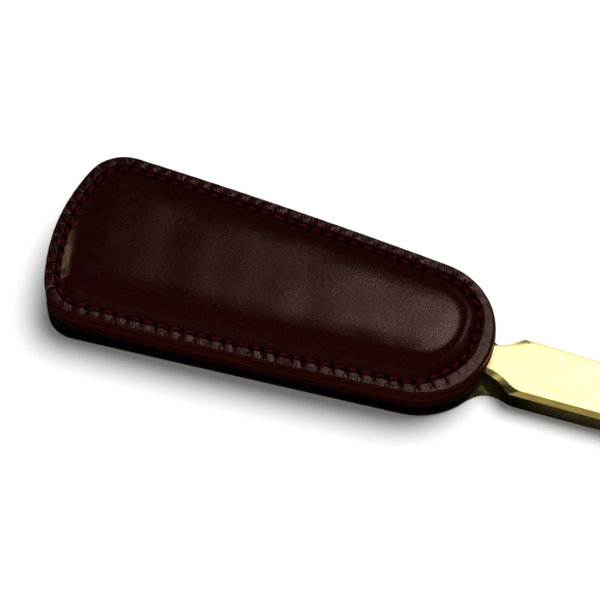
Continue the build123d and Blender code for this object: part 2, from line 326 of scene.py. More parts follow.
def cover_rows():
    """Coarse pad cover with a flat underside."""
    points, normals = COL_P[::8], COL_N[::8]
    target = medial_target(points)
    rows = [row(offset(points, normals, inset), float(profile(inset)))
            for inset in (COVER_IN, 4.1, 4.7, 5.4, 6.1, 6.9, 7.7, CLOSE_IN)]
    start = offset(points, normals, CLOSE_IN)
    for part in np.linspace(0, 1, 14)[1:]:
        plan = between(start, target, part)
        rows.append(row(plan, profile(CLOSE_IN + lengths(plan - start))))
    edge = offset(points, normals, COVER_IN)
    rows += [row(between(edge, target, part), 9.9) for part in np.linspace(1, 0, 10)]
    return rows


def coordinates(mesh):
    flat = np.zeros(len(mesh.vertices) * 3)
    mesh.vertices.foreach_get("co", flat)
    return flat.reshape(-1, 3)


def evaluated_mesh(source):
    view = bpy.context.evaluated_depsgraph_get()
    return bpy.data.meshes.new_from_object(source.evaluated_get(view))


def swell_pad():
    """Runs cloth on the cover, pinned at its foot; returns trees of it before and after."""
    rows = cover_rows()
    count = len(rows[0])
    faces = ring_faces(len(rows), count) + bridge((len(rows) - 1) * count, 0, count)
    cover = make_object("sim_pad", np.concatenate(rows) * MM * SIM_SCALE, faces)
    merge_close(cover.data, 1e-4)
    remesh = cover.modifiers.new("remesh", "REMESH")
    remesh.mode = "VOXEL"
    remesh.voxel_size = 0.85 * MM * SIM_SCALE
    mesh = evaluated_mesh(cover)
    cover.modifiers.clear()
    cover.data = mesh
    before = coordinates(mesh)

    pin_full, pin_end = 11.5, 12.2
    pin = cover.vertex_groups.new(name="pin")
    for i, z in enumerate(before[:, 2] / SIM_UNIT):
        if z < pin_full:
            pin.add([i], 1.0, "REPLACE")
        elif z < pin_end:
            pin.add([i], float((pin_end - z) / 0.7) * 0.5, "REPLACE")
    cloth = cover.modifiers.new("cloth", "CLOTH")
    cloth.collision_settings.use_collision = False
    settings = cloth.settings
    settings.quality = 6
    settings.mass = 0.35
    settings.tension_stiffness = settings.compression_stiffness = 18
    settings.shear_stiffness = 6
    settings.bending_stiffness = 1.2
    settings.use_pressure = True
    settings.uniform_pressure_force = 4.0
    settings.shrink_min = -0.012
    settings.vertex_group_mass = "pin"
    settings.pin_stiffness = 1.0
    settings.effector_weights.gravity = 0.0
    for frame_number in range(1, 21):
        scene.frame_set(frame_number)
    swollen = evaluated_mesh(cover)
    scene.frame_set(1)

    move = (coordinates(swollen) - before) / SIM_UNIT
    size = np.linalg.norm(move, axis=1)
    keep = np.where(size > 1e-9, MOVE_CAP * np.tanh(size / MOVE_CAP) / np.maximum(size, 1e-9), 1.0)
    start = before / SIM_UNIT
    polygons = [tuple(polygon.vertices) for polygon in swollen.polygons]
    bpy.data.objects.remove(cover)
    return [BVHTree.FromPolygons([Vector(point) for point in points], polygons)
            for points in (start, start + move * keep[:, None])]


def cloth_lift(x, y, trees):
    """Rise of the cloth at one plan point, 0 where it isn't covered."""
    before, after = [tree.ray_cast(Vector((x, y, 40.0)), Vector((0, 0, -1)))[0] for tree in trees]
    return 0.0 if before is None or after is None else after.z - before.z


def blur_rows(values):
    return 0.25 * values[:-2] + 0.5 * values[1:-1] + 0.25 * values[2:]


# the lift is sampled once on a plan grid, then read bilinearly
GRID = 0.8
GRID_X = np.arange(-50, 50.01, GRID)
GRID_Y = np.arange(-20, 20.01, GRID)
LIFT = np.zeros((len(GRID_X), len(GRID_Y)))
cover_trees = swell_pad()
LIFT = np.array([[cloth_lift(x, y, cover_trees) for y in GRID_Y] for x in GRID_X])
for _ in range(9):
    LIFT = blur_rows(blur_rows(np.pad(LIFT, 1, mode="edge")).T).T


def lift(x, y):
    across = np.clip((x - GRID_X[0]) / GRID, 0, len(GRID_X) - 1.001)
    up = np.clip((y - GRID_Y[0]) / GRID, 0, len(GRID_Y) - 1.001)
    i, j = across.astype(int), up.astype(int)
    across, up = across - i, up - j
    return (LIFT[i, j] * (1 - across) * (1 - up) + LIFT[i + 1, j] * across * (1 - up)
            + LIFT[i, j + 1] * (1 - across) * up + LIFT[i + 1, j + 1] * across * up)


# ---------------------------------------------------------------- leather surface detail
rng = np.random.default_rng(71)
HOLE_DEPTH = rng.uniform(0.75, 1.25, N_STITCH)
CREASE_AMP = rng.uniform(0.45, 1.35, N_STITCH)
CREASE_LEAN = rng.normal(0.22, 0.12, N_STITCH)
HOLE_SHIFT = rng.normal(0.0, 0.11, N_STITCH)
RIB = waves(11, 46, 300, 480)
RIB_LEVEL = waves(12, 12, 6, 40)
PILLOW_LEVEL = waves(13, 10, 5, 60)
LUMP = waves(15, 14, 20, 110)


def toward_nose(normals):
    """0 to 1: how far the outline faces the nose, leaning to its front (-Y) corner."""
    return rise(0.50, 0.98, -(normals @ np.array([0.93, -0.37])))


NOSE = toward_nose(COL_N)
SMOOTH_RIM = rise(0.35, 0.80, -COL_N[:, 0])


def rim_shift(inset, nose):
    """Extra inset round the nose, where the seam runs further from the edge."""
    return 1.55 * nose * band(inset, up=(0.6, 2.9), down=(3.3, 8.6))


def surface_detail(inset, station, x, y):
    """Height added to the profile at the columns; each `on_` fades a detail to its place."""
    stitch = station / PITCH
    nearest = np.floor(stitch + 0.5)
    hole = nearest.astype(int) % N_STITCH
    from_hole = (stitch - nearest) * PITCH + HOLE_SHIFT[hole]
    from_seam = inset - STITCH_IN
    # 0 at the holes, 1 between them
    pillow = 0.5 - 0.5 * np.cos(TURN * (stitch - from_seam * 0.03))
    height = np.zeros(inset.shape)
    # the rim swells between the holes and is pulled down at them; calmer round the nose
    calm = 1 - 0.82 * SMOOTH_RIM
    on_rim = (0.25 + 0.75 * rise(0.3, 1.6, inset)) * calm
    on_rim = on_rim * band(inset, up=(0.0, 0.5), down=(2.35, 2.95))
    height += (0.23 + 0.06 * along(PILLOW_LEVEL, station)) * (np.sqrt(pillow) - 0.62) * on_rim
    # leaning creases that run outwards from the holes
    on_crease = (0.35 + 0.65 * rise(0.8, 2.3, inset)) * band(inset, up=(0.2, 0.9), down=(3.2, 3.7))
    on_crease = on_crease * (1 - 0.92 * SMOOTH_RIM * fall(2.1, 2.9, inset))
    from_crease = from_hole + CREASE_LEAN[hole] * from_seam
    height -= 0.27 * CREASE_AMP[hole] * np.exp(-(from_crease / 0.30) ** 2) * on_crease
    # fine ribs pressed across the rim
    on_ribs = band(inset, up=(0.2, 0.7), down=(2.4, 2.8)) * calm
    rib_height = 0.027 + 0.014 * np.clip(along(RIB_LEVEL, station), -1, 1.4)
    height += rib_height * along(RIB, station + 0.45 * (inset - 2)) * on_ribs
    # low lumps over rim and channel
    on_lumps = band(inset, up=(0.2, 1.0), down=(3.8, 4.6))
    height += 0.012 * along(LUMP, station + 0.8 * np.sin(inset * 2.1)) * on_lumps
    # stitch holes, and the furrow the thread has cut
    hole_dip = np.exp(-((from_hole / 0.43) ** 2 + ((from_seam + 0.05) / 0.38) ** 2))
    height -= 1.15 * HOLE_DEPTH[hole] * hole_dip
    height -= 0.12 * np.exp(-(from_seam / 0.42) ** 2) * pillow
    # small gathers on the pad's foot
    on_foot = band(inset, up=(3.5, 3.95), down=(4.3, 5.3))
    height += (0.075 * (pillow - 0.5) + 0.03 * along(LUMP, station + 40)) * on_foot
    # soft gathers, creases and unevenness over the pad
    on_pad = rise(4.2, 7.0, inset)
    height += 0.040 * field(21, 16, (9, 26), (-1.2, 1.2), x, y) * on_pad
    crease = field(22, 10, (3.6, 9.0), (-0.45, 0.45), x, y)
    height -= 0.007 * np.exp(-(crease / 0.55) ** 2) * rise(6.0, 9.0, inset)
    height += 0.0012 * field(23, 20, (1.2, 3.0), (-1.6, 1.6), x, y) * on_pad
    return height


# ---------------------------------------------------------------- face leather
# side wall: (inset, height) before it is fitted under the rounded corner
FACE_SIDE_TOP = 10.5
FACE_SIDE = (
    (0.20, FACE_Z), (0.09, 7.735), (0.03, 7.80), (0.0, 7.92), (-0.015, 8.3),
    (-0.02, 8.8), (-0.02, 9.3), (-0.015, 9.8), (-0.005, 10.25), (0.0, FACE_SIDE_TOP))
CORNER_ANGLES = np.radians(np.linspace(0, 90, 12)[:-1])
# rows over the top; those outside the blend inset are squeezed in behind the corner
TOP_BLEND = 2.0
TOP_INSETS = np.concatenate([
    np.arange(0.0, TOP_BLEND, 0.11), np.arange(TOP_BLEND, 4.3, 0.12), np.arange(4.3, 8.7, 0.2)])
# underside: (inset, height) of the flat land, then the hollow over board and filler
HOLLOW_IN = 5.58
FACE_UNDER = (
    (0.30, FACE_Z), (3.0, FACE_Z), (HOLLOW_IN, FACE_Z), (HOLLOW_IN, 9.4), (HOLLOW_IN, 11.20),
    (5.85, 11.60), (6.1, 11.95), (6.6, 12.40), (7.3, 12.80), (8.2, 13.10), (CLOSE_IN, 13.16))
HOLLOW_Z = 13.22


def face_leather():
    wobble = 0.012 * along(waves(31, 12, 10, 90), STATIONS)
    radius = rim_radius()
    corner_foot = RIM_Z - EDGE_DROP - radius
    target = medial_target(COL_P)

    def detail(inset, plan):
        return surface_detail(inset, STATIONS, *plan.T)

    rows = []
    for inset, z in FACE_SIDE:
        plan = offset(COL_P, COL_N, inset + wobble * 0.6)
        fit = (corner_foot - 0.06 - FACE_Z) / (FACE_SIDE_TOP - FACE_Z)
        rows.append(row(plan, FACE_Z + (z - FACE_Z) * fit))
    for angle in CORNER_ANGLES:
        inset = radius * (1 - math.cos(angle))
        z = corner_foot + radius * math.sin(angle)
        plan = offset(COL_P, COL_N, inset + wobble)
        rows.append(row(plan, z + detail(inset, plan) * rise(10.4, RIM_Z, z)))
    for top_inset in TOP_INSETS:
        inset = np.full(N_COL, top_inset)
        if top_inset < TOP_BLEND:
            inset = radius + top_inset * (TOP_BLEND - radius) / TOP_BLEND
        plan = offset(COL_P, COL_N, inset + wobble * fall(1, 4, inset) + rim_shift(inset, NOSE))
        z = profile(inset) + detail(inset, plan)
        rows.append(row(plan, z + lift(*plan.T) * rise(4.4, 6.0, inset)))
    last = TOP_INSETS[-1]
    start = offset(COL_P, COL_N, last + rim_shift(last, NOSE))
    for part in np.linspace(0, 1, 34)[1:]:
        plan = between(start, target, part)
        inset = last + lengths(plan - start)
        z = profile(inset) + detail(np.maximum(inset, 9.0 * (part > 0.2)), plan)
        rows.append(row(plan, z + lift(*plan.T)))

    under = [row(offset(COL_P, COL_N, inset), z) for inset, z in FACE_UNDER]
    start = offset(COL_P, COL_N, CLOSE_IN)
    under += [row(between(start, target, part), HOLLOW_Z) for part in np.linspace(0, 1, 8)[1:]]
    return make_shell("leather_face", rows, under)


# ---------------------------------------------------------------- backing leather
# (inset, height) from the underside, round the side and over the top
BACKING_SIDE = (
    (2.35, BACK_Z), (1.2, BACK_Z), (0.62, BACK_Z), (0.36, 4.53), (0.17, 4.63), (0.06, 4.80),
    (0.0, 5.05), (-0.015, 5.5), (-0.02, 6.1), (-0.018, 6.7), (0.0, 7.2), (0.03, 7.45),
    (0.07, 7.58), (0.14, 7.66), (0.26, FACE_Z), (1.2, FACE_Z), (4.0, FACE_Z), (CLOSE_IN, FACE_Z))
# (inset, height) of the groove under the seam and the flat inside it
GROOVE_Z = 5.05
BACKING_UNDER = (
    (2.40, BACK_Z), (2.40, GROOVE_Z), (3.70, GROOVE_Z), (3.70, BACK_Z), (CLOSE_IN, BACK_Z))


def backing_leather():
    points, normals, station = COL_P[::2], COL_N[::2], STATIONS[::2]
    wobble = 0.010 * along(waves(41, 14, 8, 110), station)
    lip_wobble = 0.012 * along(waves(42, 10, 5, 60), station)
    rows = []
    for inset, z in BACKING_SIDE:
        plan = offset(points, normals, inset + wobble * (inset < 0.5))
        rows.append(row(plan, z + lip_wobble * (7.3 < z < 7.69)))
    under = [row(offset(points, normals, inset), z) for inset, z in BACKING_UNDER]
    start = offset(points, normals, CLOSE_IN)
    target = medial_target(points)
    for part in (0.33, 0.66, 1.0):
        rows.append(row(between(start, target, part), FACE_Z))
        under.append(row(between(start, target, part), BACK_Z))
    return make_shell("leather_backing", rows, under)


# ---------------------------------------------------------------- stitches
N_PLY, PLY_POINTS, PLY_SIDES = 3, 34, 8
PLY_ORBIT, PLY_RADIUS, TWIST_LEN = 0.150, 0.170, 1.35


def cross_axes(path):
    """Level and upright unit vectors across a path."""
    tangent = unit(np.gradient(path, axis=0))
    level = unit(np.cross(tangent, np.array([0, 0, 1.0])))
    return level, np.cross(level, tangent)


def tube(path, radius):
    level, upright = cross_axes(path)
    angle = (TURN * np.arange(PLY_SIDES) / PLY_SIDES)[None, :, None]
    around = np.cos(angle) * level[:, None] + np.sin(angle) * upright[:, None]
    return (path[:, None] + radius[:, None, None] * around).reshape(-1, 3)


def stitches():
    """Three-ply waxed thread, one strand per stitch, diving into the holes."""
    draw = np.random.default_rng(5)
    verts, faces = [], []
    u = np.linspace(-1, 1, PLY_POINTS)
    radius = PLY_RADIUS * (1 - 0.25 * np.abs(u) ** 8)
    for i in range(N_STITCH):
        shift, next_shift = HOLE_SHIFT[i], HOLE_SHIFT[(i + 1) % N_STITCH]
        half = (0.5 * PITCH - 0.54) * draw.uniform(0.86, 1.10) + (shift - next_shift) / 2
        slant = draw.normal(0.22, 0.12)
        sag = draw.normal(-0.02, 0.05)
        points, normals = at_stations((i + 0.5) * PITCH - (shift + next_shift) / 2 + u * half)
        across = slant * u * 1.25 + 0.03 * np.sin(u * 3 + i)
        inset = STITCH_IN + across + rim_shift(STITCH_IN, toward_nose(normals))
        core = row(offset(points, normals, inset), THREAD_Z + sag - 1.20 * np.abs(u) ** 3.0)
        level, upright = cross_axes(core)
        start_angle = draw.uniform(0, TURN)
        for ply in range(N_PLY):
            twist = start_angle + TURN * ply / N_PLY + run_length(core) * TURN / TWIST_LEN
            orbit = np.cos(twist)[:, None] * level + np.sin(twist)[:, None] * upright
            base = len(verts)
            end = base + (PLY_POINTS - 1) * PLY_SIDES
            verts.extend(tube(core + PLY_ORBIT * orbit, radius))
            faces += ring_faces(PLY_POINTS, PLY_SIDES, base)
            faces.append(tuple(reversed(range(base, base + PLY_SIDES))))
            faces.append(tuple(range(end, end + PLY_SIDES)))
    thread = make_object("stitch_thread", np.array(verts) * MM, faces)
    merge_close(thread.data, 1e-8)
    return thread


# ---------------------------------------------------------------- shader helpers
class Graph:
    """Short calls for making and linking shader nodes."""

    def __init__(self, tree):
        self.tree = tree
        tree.nodes.clear()

    def put(self, socket, value):
        if isinstance(value, bpy.types.NodeSocket):
            self.tree.links.new(value, socket)
        elif socket.type == "RGBA":
            socket.default_value = (*value, 1)
        else:
            socket.default_value = value

    def node(self, kind, inputs=None, **settings):
        made = self.tree.nodes.new("ShaderNode" + kind)
        for name, value in settings.items():
            setattr(made, name, value)
        for key, value in (inputs or {}).items():
            self.put(made.inputs[key], value)
        return made

    def math(self, operation, a, b=0.0):
        return self.node("Math", {0: a, 1: b}, operation=operation).outputs[0]

    def add(self, a, b):
        return self.math("ADD", a, b)

    def mul(self, a, b):
        return self.math("MULTIPLY", a, b)

    def remap(self, value, over, to=(0.0, 1.0), smooth=False):
        return self.node("MapRange", {
            "Value": value, "From Min": over[0], "From Max": over[1],
            "To Min": to[0], "To Max": to[1],
        }, interpolation_type="SMOOTHSTEP" if smooth else "LINEAR").outputs[0]

    def fade(self, value, over, to=(0.0, 1.0)):
        return self.remap(value, over, to, smooth=True)

    def xyz(self, vector):
        return self.node("SeparateXYZ", {0: vector}).outputs


class Mat(Graph):
    """A Principled material whose textures sit in object space."""

    def __init__(self, name):
        self.material = bpy.data.materials.new(name)
        self.material.use_nodes = True
        super().__init__(self.material.node_tree)
        self.output = self.node("OutputMaterial")
        self.shader = self.node("BsdfPrincipled")
        self.put(self.output.inputs[0], self.shader.outputs[0])
        self.position = self.node("TexCoord").outputs["Object"]

    def set(self, key, value):
        self.put(self.shader.inputs[key], value)

    def stretch(self, scale, shift=(0, 0, 0)):
        return self.node("Mapping", {
            "Vector": self.position, "Scale": scale, "Location": shift}).outputs[0]

    def noise(self, scale=1.0, detail=2, rough=0.5, vector=None, warp=0.0):
        return self.node("TexNoise", {
            "Vector": vector or self.position, "Scale": scale, "Detail": detail,
            "Roughness": rough, "Distortion": warp}).outputs["Fac"]

    def ramp(self, factor, stops):
        """Stops are (position, colour)."""
        made = self.node("ValToRGB", {0: factor})
        elements = made.color_ramp.elements
        while len(elements) < len(stops):
            elements.new(0.5)
        for element, (position, color) in zip(elements, stops):
            element.position = position
            element.color = (*color, 1)
        return made.outputs[0]

    def mix(self, factor, a, b):
        return self.node("Mix", {0: factor, 6: a, 7: b}, data_type="RGBA").outputs[2]

    def mix_value(self, factor, a, b):
        return self.node("Mix", {0: factor, 2: a, 3: b}, data_type="FLOAT").outputs[0]

    def bump(self, height, distance, strength=1.0, normal=None):
        inputs = {"Distance": distance, "Strength": strength, "Height": height}
        if normal is not None:
            inputs["Normal"] = normal
        return self.node("Bump", inputs).outputs[0]


# ---------------------------------------------------------------- leather and thread
JOINT_LINE_COLOR = (0.046, 0.012, 0.007)       # lighter orange line at the joint of the two leathers


def leather_material():
    m = Mat("leather_burgundy")
    z = m.xyz(m.position)[2]
    # mottled dye, darker where it pools
    big = m.noise(scale=240, detail=3, rough=0.55)
    mid = m.noise(scale=850, detail=3, rough=0.6, warp=0.3)
    fine = m.noise(scale=3600, detail=2, rough=0.65)
    color = m.ramp(m.add(m.mul(big, 0.45), m.mul(mid, 0.55)), [
        (0.30, (0.0220, 0.0009, 0.0009)),
        (0.52, (0.0330, 0.0016, 0.0014)),
        (0.74, (0.0460, 0.0032, 0.0024))])
    color = m.mix(m.remap(fine, over=(0.35, 0.7), to=(0.0, 0.35)), color, b=(0.050, 0.0050, 0.0034))
    # the burnished edge is a deeper red, in layers, with a lighter orange line at its foot
    edge = m.fade(z, over=(0.01015, 0.01085), to=(1.0, 0.0))
    layers = m.noise(detail=4, rough=0.65, vector=m.stretch((45, 45, 2300)))
    edge_color = m.ramp(layers, [
        (0.32, (0.0095, 0.0014, 0.0008)),
        (0.50, (0.0200, 0.0026, 0.0012)),
        (0.68, (0.0360, 0.0072, 0.0028))])
    joint_line = m.mul(m.fade(z, over=(0.00770, 0.00800), to=(1.0, 0.0)), 0.75)
    m.set("Base Color", m.mix(edge, color, m.mix(joint_line, edge_color, JOINT_LINE_COLOR)))
    # the sheen breaks up over the grain and is duller on the rim
    sheen = m.remap(mid, over=(0.3, 0.75), to=(0.21, 0.27))
    grain = m.remap(fine, over=(0.3, 0.75), to=(-0.04, 0.06))
    rim = m.mul(m.fade(z, over=(0.01040, 0.01085)),
                m.fade(z, over=(0.01150, 0.01200), to=(1.0, 0.0)))
    rough = m.add(m.add(sheen, m.mul(rim, 0.05)), grain)
    edge_rough = m.remap(layers, over=(0.3, 0.7), to=(0.38, 0.46))
    m.set("Roughness", m.mix_value(edge, rough, edge_rough))
    m.set("IOR", 1.5)
    m.set("Specular Tint", m.mix(edge, a=(1.0, 0.66, 0.58), b=(1.0, 0.40, 0.25)))
    fleck = m.noise(scale=4300, detail=2, rough=0.6)
    m.set("Specular IOR Level", m.mul(m.remap(fleck, over=(0.38, 0.62), to=(0.28, 0.72)),
                                      m.remap(edge, over=(0.0, 1.0), to=(1.0, 0.0))))
    # fine pebbles with pores between and a trace of stretch lines; little on the edge
    pebbles = m.node("TexVoronoi", {"Vector": m.position, "Scale": 2500},
                     feature="SMOOTH_F1").outputs["Distance"]
    pores = m.noise(scale=3300, detail=2, rough=0.62)
    lines = m.noise(detail=3, rough=0.55, vector=m.stretch((900, 300, 500)), warp=0.3)
    height = m.add(m.mul(pebbles, 0.22), m.add(m.mul(pores, 0.72), m.mul(lines, 0.07)))
    height = m.mul(height, m.remap(edge, over=(0.0, 1.0), to=(1.0, 0.08)))
    m.set("Normal", m.bump(height, distance=0.000076))
    return m.material


def edge_material():
    m = Mat("leather_edge")
    z = m.xyz(m.position)[2]
    layers = m.noise(detail=4, rough=0.58, vector=m.stretch((60, 60, 1700)))
    blots = m.noise(scale=300, detail=3, rough=0.6)
    color = m.ramp(layers, [
        (0.30, (0.0110, 0.0009, 0.0009)),
        (0.52, (0.0150, 0.0013, 0.0012)),
        (0.74, (0.0210, 0.0024, 0.0018))])
    color = m.mix(m.remap(blots, over=(0.45, 0.75), to=(0.0, 0.4)), color,
                  b=(0.0210, 0.0019, 0.0016))
    # lighter orange line along the top, at the joint; along the bottom a painted reflection of the
    # brass, as a paler orange band
    color = m.mix(m.mul(m.fade(z, over=(0.00738, 0.00766)), 0.8), color, JOINT_LINE_COLOR)
    # painted reflection of the brass: paler orange band low on the backing's edge
    low = m.fade(z, over=(0.00455, 0.00500), to=(1.0, 0.0))
    m.set("Base Color", m.mix(m.mul(low, 0.7), color, b=(0.070, 0.030, 0.018)))
    m.set("Roughness", m.remap(layers, over=(0.3, 0.7), to=(0.17, 0.22)))
    m.set("Specular Tint", (1.0, 0.50, 0.35))
    m.set("Specular IOR Level", 0.30)
    m.set("Normal", m.bump(m.add(layers, m.mul(blots, 0.4)), distance=0.00003, strength=0.5))
    return m.material


def thread_material():
    m = Mat("thread_red")
    fibres = m.noise(detail=3, rough=0.7, vector=m.stretch((5200, 5200, 5200)))
    dye_and_shade = m.noise(scale=700, detail=2, rough=0.5)
    color = m.ramp(fibres, [
        (0.3, (0.100, 0.0050, 0.0040)),
        (0.55, (0.170, 0.0105, 0.0080)),
        (0.75, (0.250, 0.0240, 0.0160))])
    m.set("Base Color", m.mix(m.remap(dye_and_shade, over=(0.4, 0.7), to=(0.0, 0.45)), color,
                              b=(0.085, 0.0050, 0.0050)))
    m.set("Roughness", 0.6)
    m.set("Specular IOR Level", 0.12)
    m.set("Specular Tint", (1.0, 0.6, 0.5))
    m.set("Normal", m.bump(fibres, distance=0.00004, strength=0.7))
    return m.material


# ---------------------------------------------------------------- brass
def add_painted_shade(m, base, spots):
    """Painted shade on the metal: faces that do not face up are darker and greener, painted shadow
    lies over the plate and in the cove under the leather, and a painted reflection of the floor
    lies low on the plate.
    """
    x, _, z = m.xyz(m.position)
    facing_up = m.xyz(m.node("NewGeometry").outputs["True Normal"])[2]
    # painted shade: faces that do not face up get a darker, greener brass colour, and faces turned
    # down a paler one
    side_shade = m.ramp(spots, [
        (0.3, (0.50, 0.420, 0.150)),
        (0.6, (0.62, 0.530, 0.200)),
        (0.8, (0.72, 0.610, 0.250))])
    under = m.fade(facing_up, over=(-0.9, -0.3), to=(1.0, 0.0))
    side_shade = m.mix(under, side_shade, b=(0.80, 0.66, 0.30))
    base = m.mix(m.fade(facing_up, over=(0.05, 0.60)), side_shade, base)
    # painted shadow over the plate under the leather, and on the steep faces of the cove a little
    # further towards +X
    plate = m.mul(m.fade(x, over=(0.040, 0.052), to=(1.0, 0.0)),
                  m.remap(facing_up, over=(-0.35, -0.1)))
    cove = m.mul(m.fade(x, over=(0.0495, 0.0590), to=(1.0, 0.0)),
                 m.fade(facing_up, over=(0.05, 0.45), to=(1.0, 0.0)))
    bottom = (0.0011, 0.0021)            # heights over which the painted shadow gives out
    painted_shadow = m.mul(m.math("MAXIMUM", plate, m.mul(cove, 0.85)), m.fade(z, over=bottom))
    # near-black colour of the painted shadow
    dye_and_shade = m.ramp(spots, [(0.3, (0.020, 0.010, 0.004)), (0.7, (0.060, 0.035, 0.014))])
    base = m.mix(m.mul(painted_shadow, 0.90), base, dye_and_shade)
    # painted reflection of the floor: paler olive grey low on the plate's side
    painted_floor_reflection = m.mul(plate, m.fade(z, over=bottom, to=(1.0, 0.0)))
    return m.mix(m.mul(painted_floor_reflection, 0.55), base, b=(0.42, 0.43, 0.28))


def brass_material(name, painted_shade=True):
    """Brass brushed along X."""
    m = Mat(name)
    tone = m.noise(scale=70, detail=3, rough=0.5)
    streaks = m.noise(detail=5, rough=0.60, vector=m.stretch((22, 5200, 5200)))
    coarse = m.noise(detail=3, rough=0.55, vector=m.stretch((70, 1400, 1400), shift=(3, 1, 2)))
    spots = m.noise(scale=360, detail=4, rough=0.62, warp=0.5)
    base = m.ramp(tone, [
        (0.30, (0.88, 0.715, 0.325)),
        (0.55, (0.90, 0.740, 0.350)),
        (0.75, (0.92, 0.760, 0.375))])
    base = m.mix(m.remap(streaks, over=(0.35, 0.7), to=(0.0, 0.22)), base, b=(0.84, 0.66, 0.26))
    base = m.mix(m.remap(spots, over=(0.66, 0.78), to=(0.0, 0.22)), base, b=(0.66, 0.48, 0.17))
    # painted shade on the metal, left off the rivets
    m.set("Base Color", add_painted_shade(m, base, spots) if painted_shade else base)
    m.set("Metallic", 1.0)
    m.set("Roughness", m.add(m.remap(streaks, over=(0.3, 0.7), to=(0.20, 0.30)),
                             m.remap(spots, over=(0.45, 0.8), to=(0.0, 0.08))))
    m.set("Anisotropic", 0.40)
    m.set("Tangent", m.node("CombineXYZ", {0: 1.0}).outputs[0])
    brushing = m.bump(m.add(m.mul(streaks, 1.0), m.mul(coarse, 0.8)),
                      distance=0.000010, strength=0.5)
    waviness = m.noise(scale=140, detail=2, rough=0.5)
    m.set("Normal", m.bump(waviness, distance=0.00008, strength=0.2, normal=brushing))
    return m.material


def plain_material(name, dark, light, scale, rough, bump):
    """Two-colour mottle; `bump` is its relief in metres."""
    m = Mat(name)
    mottle = m.noise(scale=scale, detail=4, rough=0.6)
    m.set("Base Color", m.ramp(mottle, [(0.3, dark), (0.7, light)]))
    m.set("Roughness", rough)
    m.set("Normal", m.bump(mottle, distance=bump, strength=0.6))
    return m.material


# ---------------------------------------------------------------- pieces and their materials
def paint(piece, material):
    if not piece.material_slots:
        piece.data.materials.append(material)
    for slot in piece.material_slots:
        slot.material = material


def install(piece, material, replaced):
    paint(piece, material)
    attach(piece, "root")
    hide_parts(replaced)
    return piece


LEATHER = leather_material()
EDGE = edge_material()
THREAD = thread_material()
BRASS = brass_material("brass_brushed")
SHEET = brass_material("brass_sheet")
RIVET = brass_material("brass_rivet", painted_shade=False)

face = install(face_leather(), LEATHER, "face_leather")
backing = install(backing_leather(), EDGE, "backing_leather")
seam_thread = install(stitches(), THREAD, "needle_thread")

paint(nodes["brass_bar"], BRASS)
paint(nodes["horn_blade"], SHEET)
paint(nodes["horn_rivets"], RIVET)
paint(nodes["bobbin_thread"], THREAD)
paint(nodes["bond_film"], plain_material(
    "adhesive", dark=(0.30, 0.20, 0.08), light=(0.42, 0.30, 0.14),
    scale=500, rough=0.3, bump=0.00003))
paint(nodes["stiffener_board"], plain_material(
    "fibre_board", dark=(0.10, 0.07, 0.04), light=(0.18, 0.13, 0.08),
    scale=1500, rough=0.8, bump=0.00006))
paint(nodes["pad_core"], plain_material(
    "felt", dark=(0.16, 0.14, 0.12), light=(0.26, 0.23, 0.20),
    scale=2500, rough=0.9, bump=0.00015))


def dress_metal(piece, edge_width):
    """Weld, small rolled edges (width in mm) and smooth shading, by modifiers only."""
    group = bpy.data.node_groups.new("smooth_" + piece.name, "GeometryNodeTree")
    for direction in ("INPUT", "OUTPUT"):
        group.interface.new_socket("Geometry", in_out=direction,
                                   socket_type="NodeSocketGeometry")
    chain = [group.nodes.new(kind) for kind in (
        "NodeGroupInput", "GeometryNodeMergeByDistance", "GeometryNodeSetShadeSmooth",
        "NodeGroupOutput")]
    chain[1].inputs["Distance"].default_value = 2e-6
    for source, sink in zip(chain, chain[1:]):
        group.links.new(source.outputs[0], sink.inputs[0])
    piece.modifiers.new("weld_smooth", "NODES").node_group = group
    bevel = piece.modifiers.new("rolled_edges", "BEVEL")
    bevel.width = edge_width * MM
    bevel.segments = 3
    bevel.limit_method = "ANGLE"
    bevel.angle_limit = math.radians(28)
    bevel.use_clamp_overlap = True
    bevel.miter_outer = "MITER_ARC"
    weighted = piece.modifiers.new("weighted", "WEIGHTED_NORMAL")
    weighted.weight = 60
    weighted.keep_sharp = False


dress_metal(nodes["brass_bar"], edge_width=0.16)
dress_metal(nodes["horn_blade"], edge_width=0.35)
dress_metal(nodes["horn_rivets"], edge_width=0.10)


